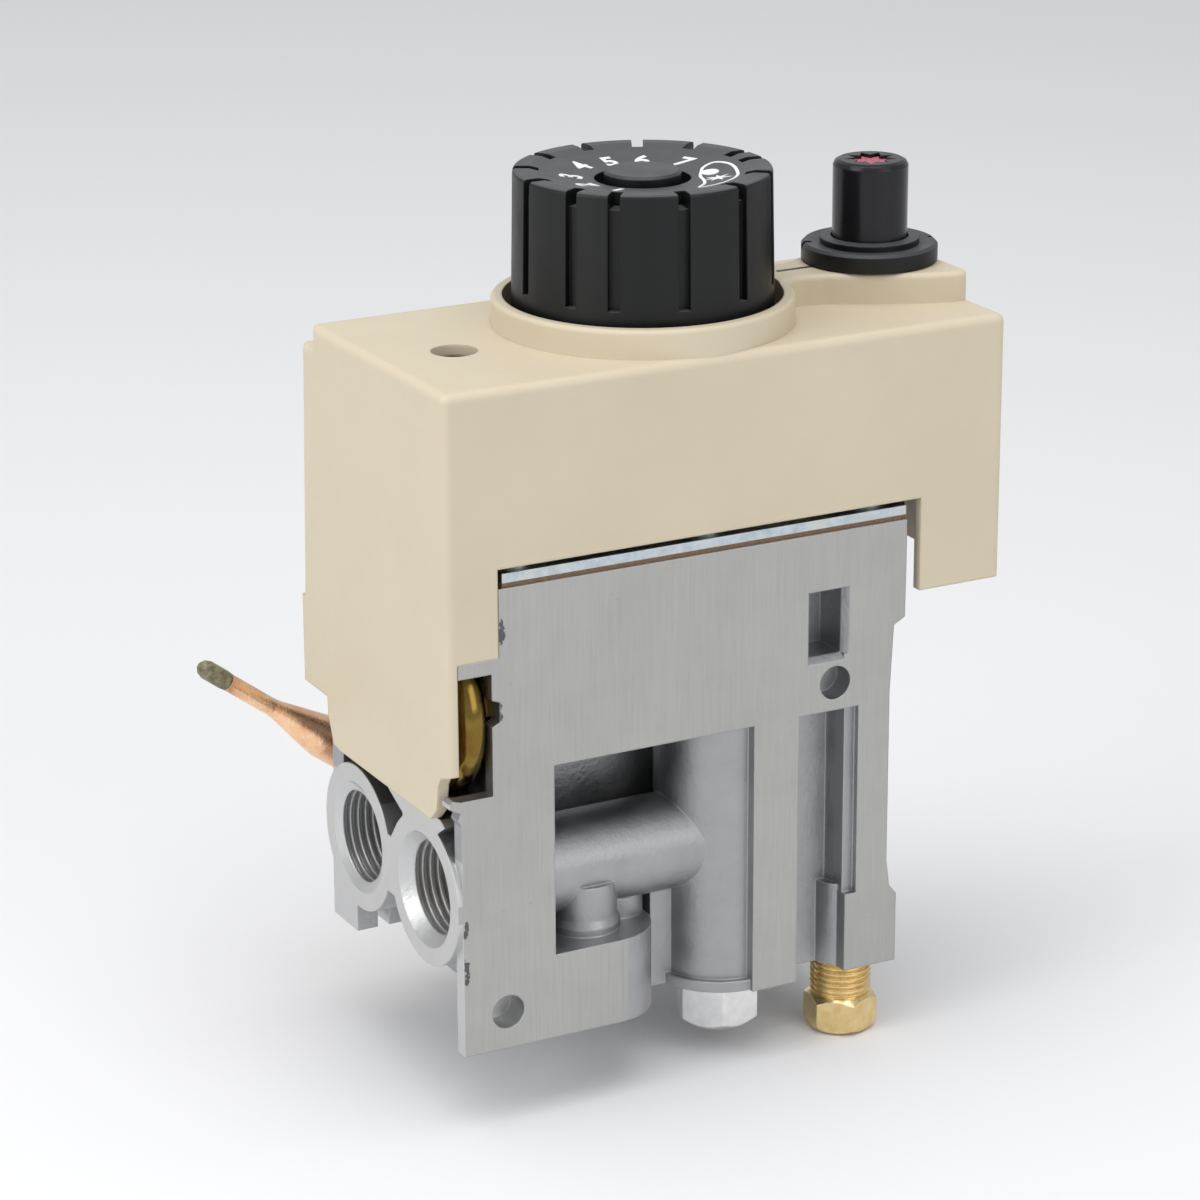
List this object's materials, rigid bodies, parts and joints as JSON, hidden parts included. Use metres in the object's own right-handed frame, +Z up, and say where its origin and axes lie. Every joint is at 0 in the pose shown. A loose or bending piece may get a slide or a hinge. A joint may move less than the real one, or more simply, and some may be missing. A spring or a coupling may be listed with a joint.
{
  "type": "gas valve",
  "caption": "Thermostatic gas control valve with a push-and-turn knob, a piezo igniter button, threaded ports, a pilot outlet and a sensing bulb.",
  "frame": {"origin": "midway between the two ports, on the flat face that they open in", "axes": "+X from the ports into the valve, +Y to the back, +Z up along the knob's axis"},
  "size_m": [0.1166, 0.0587, 0.1427],
  "materials": {
    "cast_aluminium": "die-cast, machined on the faces",
    "cover_plastic": "fine matt moulding",
    "black_satin": "satin moulding",
    "black_gloss": "glossy moulding",
    "symbol_red": "printed",
    "zinc_steel": "bright zinc plating",
    "bright_steel": "ground or drawn",
    "spring_steel": "drawn wire",
    "fibre_gasket": "pressed fibre",
    "gold_chromate": "yellow chromate over zinc",
    "bright_aluminium": "turned",
    "brass": "turned",
    "copper": "drawn copper",
    "solder": "dull solder and flux",
    "rubber": "moulded",
    "ceramic": "fired ceramic"
  },
  "bodies": {
    "valve": {"valve_body": "cast_aluminium", "top_plate_gasket": "fibre_gasket", "top_plate": "zinc_steel", "top_plate_screws": "zinc_steel", "safety_housing": "zinc_steel", "magnet_core": "bright_steel", "magnet_coil": "copper", "magnet_contact": "brass", "safety_nut": "bright_aluminium", "safety_spring": "spring_steel", "pilot_nut": "brass", "pilot_olive": "brass", "inlet_filter": "brass", "spindle_bush": "brass", "spindle_seal_ring": "rubber", "knob_spring": "spring_steel", "stop_post": "bright_steel", "cover": "cover_plastic", "cover_screws": "zinc_steel", "piezo_housing": "black_satin", "piezo_nut": "black_satin", "piezo_anvil": "bright_steel", "piezo_crystal": "ceramic", "piezo_terminal": "bright_steel", "piezo_return_spring": "spring_steel", "piezo_hammer_spring": "spring_steel", "capsule_cup": "gold_chromate", "capsule_diaphragm": "gold_chromate", "capsule_washer": "gold_chromate", "lever_bracket": "zinc_steel", "lever_pin": "bright_steel", "lever_spring": "spring_steel", "main_valve_seat": "brass", "sensor_bulb": "copper", "bulb_seal": "solder", "bulb_clip": "bright_steel", "bulb_clip_screw": "zinc_steel"},
    "knob_slider": {"pusher_arm": "zinc_steel", "push_rod": "bright_steel"},
    "knob": {"knob": "black_satin", "knob_cap": "black_satin", "spindle": "bright_steel", "knob_clip": "bright_steel", "stop_disc": "zinc_steel"},
    "safety_valve": {"safety_disc": "bright_steel", "safety_seal": "rubber", "safety_armature": "bright_steel"},
    "piezo_button": {"piezo_button": "black_gloss", "button_symbol": "symbol_red"},
    "piezo_hammer": {"piezo_hammer": "bright_steel"},
    "capsule_pin": {"capsule_pin": "bright_steel"},
    "thermostat_lever": {"thermostat_lever": "zinc_steel"},
    "main_valve": {"main_valve_disc": "bright_steel", "main_valve_seal": "rubber"},
    "bypass_screw": {"bypass_screw": "brass"}
  },
  "joints": [
    {"name": "knob_push", "type": "slide", "parent": "valve", "child": "knob_slider", "axis": [0, 0, -1], "range_m": [0, 0.004], "stiffness_N_per_m": 1500, "springref_m": -0.005, "deforming": ["knob_spring"]},
    {"name": "knob_turn", "type": "hinge", "parent": "knob_slider", "child": "knob", "pos_m": [0.0453, 0, 0.095], "axis": [0, 0, 1], "range_deg": [0, 329]},
    {"name": "safety_slide", "type": "slide", "parent": "valve", "child": "safety_valve", "axis": [0, 0, -1], "range_m": [0, 0.004], "deforming": ["safety_spring"]},
    {"name": "igniter_button", "type": "slide", "parent": "valve", "child": "piezo_button", "axis": [0, 0, -1], "range_m": [0, 0.007], "stiffness_N_per_m": 900, "springref_m": -0.004, "deforming": ["piezo_return_spring", "piezo_hammer_spring"]},
    {"name": "igniter_hammer", "type": "slide", "parent": "valve", "child": "piezo_hammer", "axis": [0, 0, -1], "range_m": [0, 0.0033]},
    {"name": "lever_tilt", "type": "hinge", "parent": "valve", "child": "thermostat_lever", "pos_m": [0.034, 0, 0.042], "axis": [0, 1, 0], "range_deg": [-8, 0]},
    {"name": "capsule_pin_slide", "type": "slide", "parent": "valve", "child": "capsule_pin", "axis": [1, 0, 0], "range_m": [0, 0.0018], "stiffness_N_per_m": 100, "springref_m": -0.0005},
    {"name": "main_valve_slide", "type": "slide", "parent": "valve", "child": "main_valve", "axis": [0, 0, -1], "range_m": [0, 0.0018]},
    {"name": "bypass_turn", "type": "hinge", "parent": "valve", "child": "bypass_screw", "pos_m": [0.0116, -0.0021, 0.052], "axis": [0, 0, 1], "range_deg": [-360, 720]}
  ],
  "couplings": [
    {"joint": "safety_slide", "follows": "knob_push", "ratio": 1},
    {"joint": "igniter_hammer", "follows": "igniter_button", "ratio": 0.45},
    {"joint": "lever_tilt", "follows": "capsule_pin_slide", "rad_per_m": -77.16},
    {"joint": "main_valve_slide", "follows": "capsule_pin_slide", "ratio": 0.9228}
  ]
}
